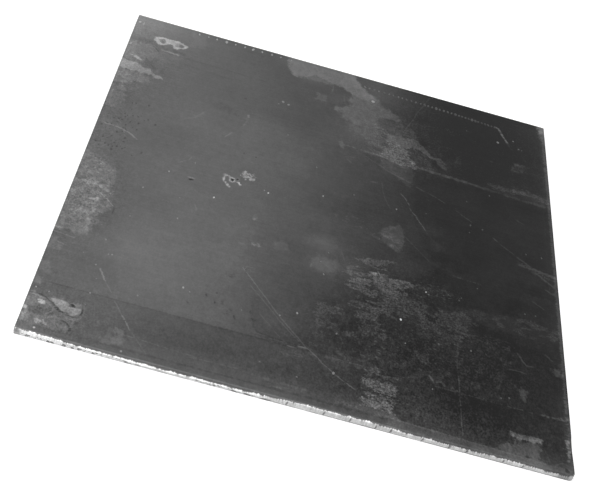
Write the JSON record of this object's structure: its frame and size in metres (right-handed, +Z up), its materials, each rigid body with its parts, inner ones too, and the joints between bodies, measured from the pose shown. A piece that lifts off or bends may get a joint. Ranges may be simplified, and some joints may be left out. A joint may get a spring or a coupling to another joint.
{
  "type": "steel plate",
  "caption": "Flat rectangular piece of hot-rolled steel plate with guillotined edges, cut-to-size stock for fabrication.",
  "frame": {"origin": "centre of the underside, on the surface that the plate rests on", "axes": "+X along the short side, +Y along the long side away from the front edge, +Z up through the thickness"},
  "size_m": [0.45, 0.6, 0.006],
  "materials": {
    "mill_scale": "dark satin mill scale, weathered and scratched, bright sheared edges"
  },
  "bodies": {
    "root": {"steel_plate": "mill_scale"}
  },
  "joints": []
}
